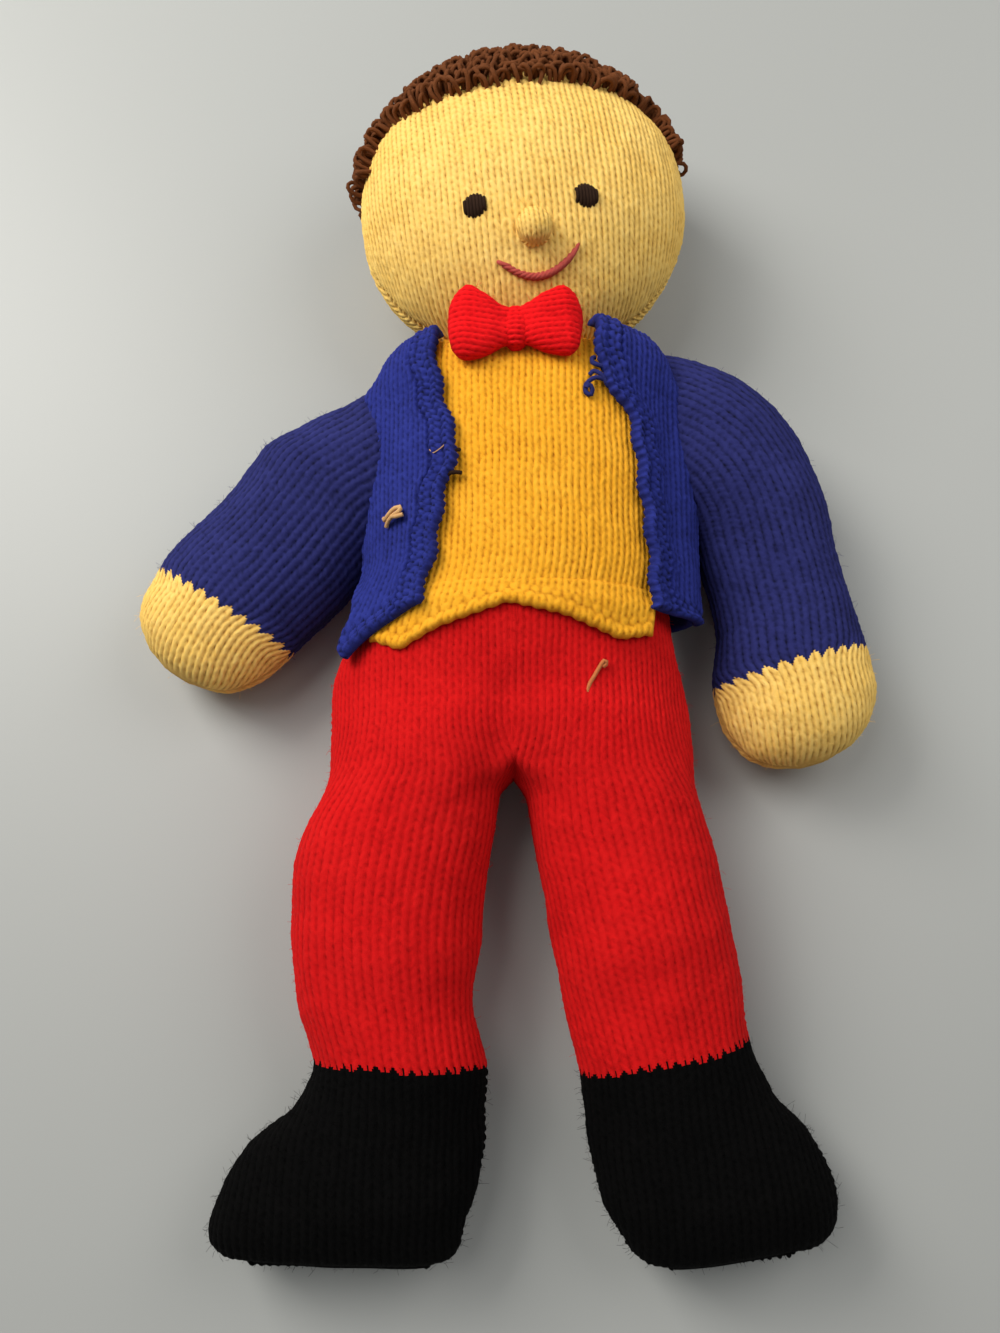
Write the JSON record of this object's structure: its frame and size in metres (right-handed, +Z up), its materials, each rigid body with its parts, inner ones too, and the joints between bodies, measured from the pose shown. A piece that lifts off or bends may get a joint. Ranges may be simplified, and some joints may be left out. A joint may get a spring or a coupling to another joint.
{
  "type": "knitted doll",
  "caption": "soft knitted doll lying on its back, stuffed head, body, arms and legs, in a jacket, waistcoat, bow tie, trousers and boots; head, arms and legs bend at unstuffed folds",
  "frame": {"origin": "middle of the bounding box's underside, on the surface that the doll lies on", "axes": "+Z up out of the doll's front, +Y toward the head along the doll's length, +X toward the doll's own left hand"},
  "size_m": [0.3348, 0.5604, 0.1036],
  "materials": {
    "cream_yarn": "matte",
    "chestnut_yarn": "matte",
    "brown_yarn": "matte",
    "rose_yarn": "matte",
    "yellow_yarn": "matte",
    "red_yarn": "matte",
    "blue_yarn": "matte",
    "black_yarn": "matte",
    "wadding": "matte"
  },
  "bodies": {
    "torso": {"waistcoat_front": "yellow_yarn", "waistcoat_back": "yellow_yarn", "waistcoat_hem": "yellow_yarn", "body_wadding": "wadding", "trouser_seat_front": "red_yarn", "trouser_seat_back": "red_yarn", "jacket_back": "blue_yarn", "jacket_collar": "blue_yarn", "jacket_right_front": "blue_yarn", "jacket_right_border": "blue_yarn", "jacket_left_front": "blue_yarn", "jacket_left_border": "blue_yarn", "bow_tie": "red_yarn", "bow_tie_knot": "red_yarn"},
    "neck": {"neck_band": "cream_yarn", "neck_wadding": "wadding"},
    "head": {"head_front": "cream_yarn", "head_back": "cream_yarn", "head_wadding": "wadding", "right_eye": "brown_yarn", "left_eye": "brown_yarn", "nose": "cream_yarn", "mouth": "rose_yarn", "hair_crown": "chestnut_yarn", "hair_fringe": "chestnut_yarn", "hair_right_side": "chestnut_yarn", "hair_left_side": "chestnut_yarn"},
    "right_arm": {"right_sleeve_top": "blue_yarn", "right_sleeve": "blue_yarn", "right_hand": "cream_yarn", "right_arm_wadding": "wadding"},
    "left_arm": {"left_sleeve_top": "blue_yarn", "left_sleeve": "blue_yarn", "left_hand": "cream_yarn", "left_arm_wadding": "wadding"},
    "right_leg": {"right_hip_fold": "red_yarn", "right_trouser_front": "red_yarn", "right_trouser_back": "red_yarn", "right_boot_front": "black_yarn", "right_boot_back": "black_yarn", "right_leg_wadding": "wadding"},
    "left_leg": {"left_hip_fold": "red_yarn", "left_trouser_front": "red_yarn", "left_trouser_back": "red_yarn", "left_boot_front": "black_yarn", "left_boot_back": "black_yarn", "left_leg_wadding": "wadding"}
  },
  "joints": [
    {"name": "neck_nod", "type": "hinge", "parent": "torso", "child": "neck", "pos_m": [0.00612, 0.11814, 0.0495], "axis": [1, 0, 0], "range_deg": [-15, 12], "stiffness_Nm_per_rad": 0.05, "deforming": ["neck_band"]},
    {"name": "head_turn", "type": "hinge", "parent": "neck", "child": "head", "pos_m": [0.00612, 0.11814, 0.0495], "axis": [0, 1, 0], "range_deg": [-30, 30], "stiffness_Nm_per_rad": 0.03},
    {"name": "right_arm_swing", "type": "hinge", "parent": "torso", "child": "right_arm", "pos_m": [-0.06418, 0.08514, 0.0448], "axis": [0, 1, 0], "range_deg": [-30, 70], "stiffness_Nm_per_rad": 0.005, "deforming": ["right_sleeve_top"]},
    {"name": "left_arm_swing", "type": "hinge", "parent": "torso", "child": "left_arm", "pos_m": [0.07642, 0.08514, 0.0448], "axis": [0, -1, 0], "range_deg": [-30, 70], "stiffness_Nm_per_rad": 0.005, "deforming": ["left_sleeve_top"]},
    {"name": "right_hip_bend", "type": "hinge", "parent": "torso", "child": "right_leg", "pos_m": [-0.04118, -0.08286, 0.032], "axis": [-1, 0, 0], "range_deg": [-20, 75], "stiffness_Nm_per_rad": 0.01, "deforming": ["right_hip_fold"]},
    {"name": "left_hip_bend", "type": "hinge", "parent": "torso", "child": "left_leg", "pos_m": [0.03942, -0.08286, 0.032], "axis": [-1, 0, 0], "range_deg": [-20, 75], "stiffness_Nm_per_rad": 0.01, "deforming": ["left_hip_fold"]}
  ]
}
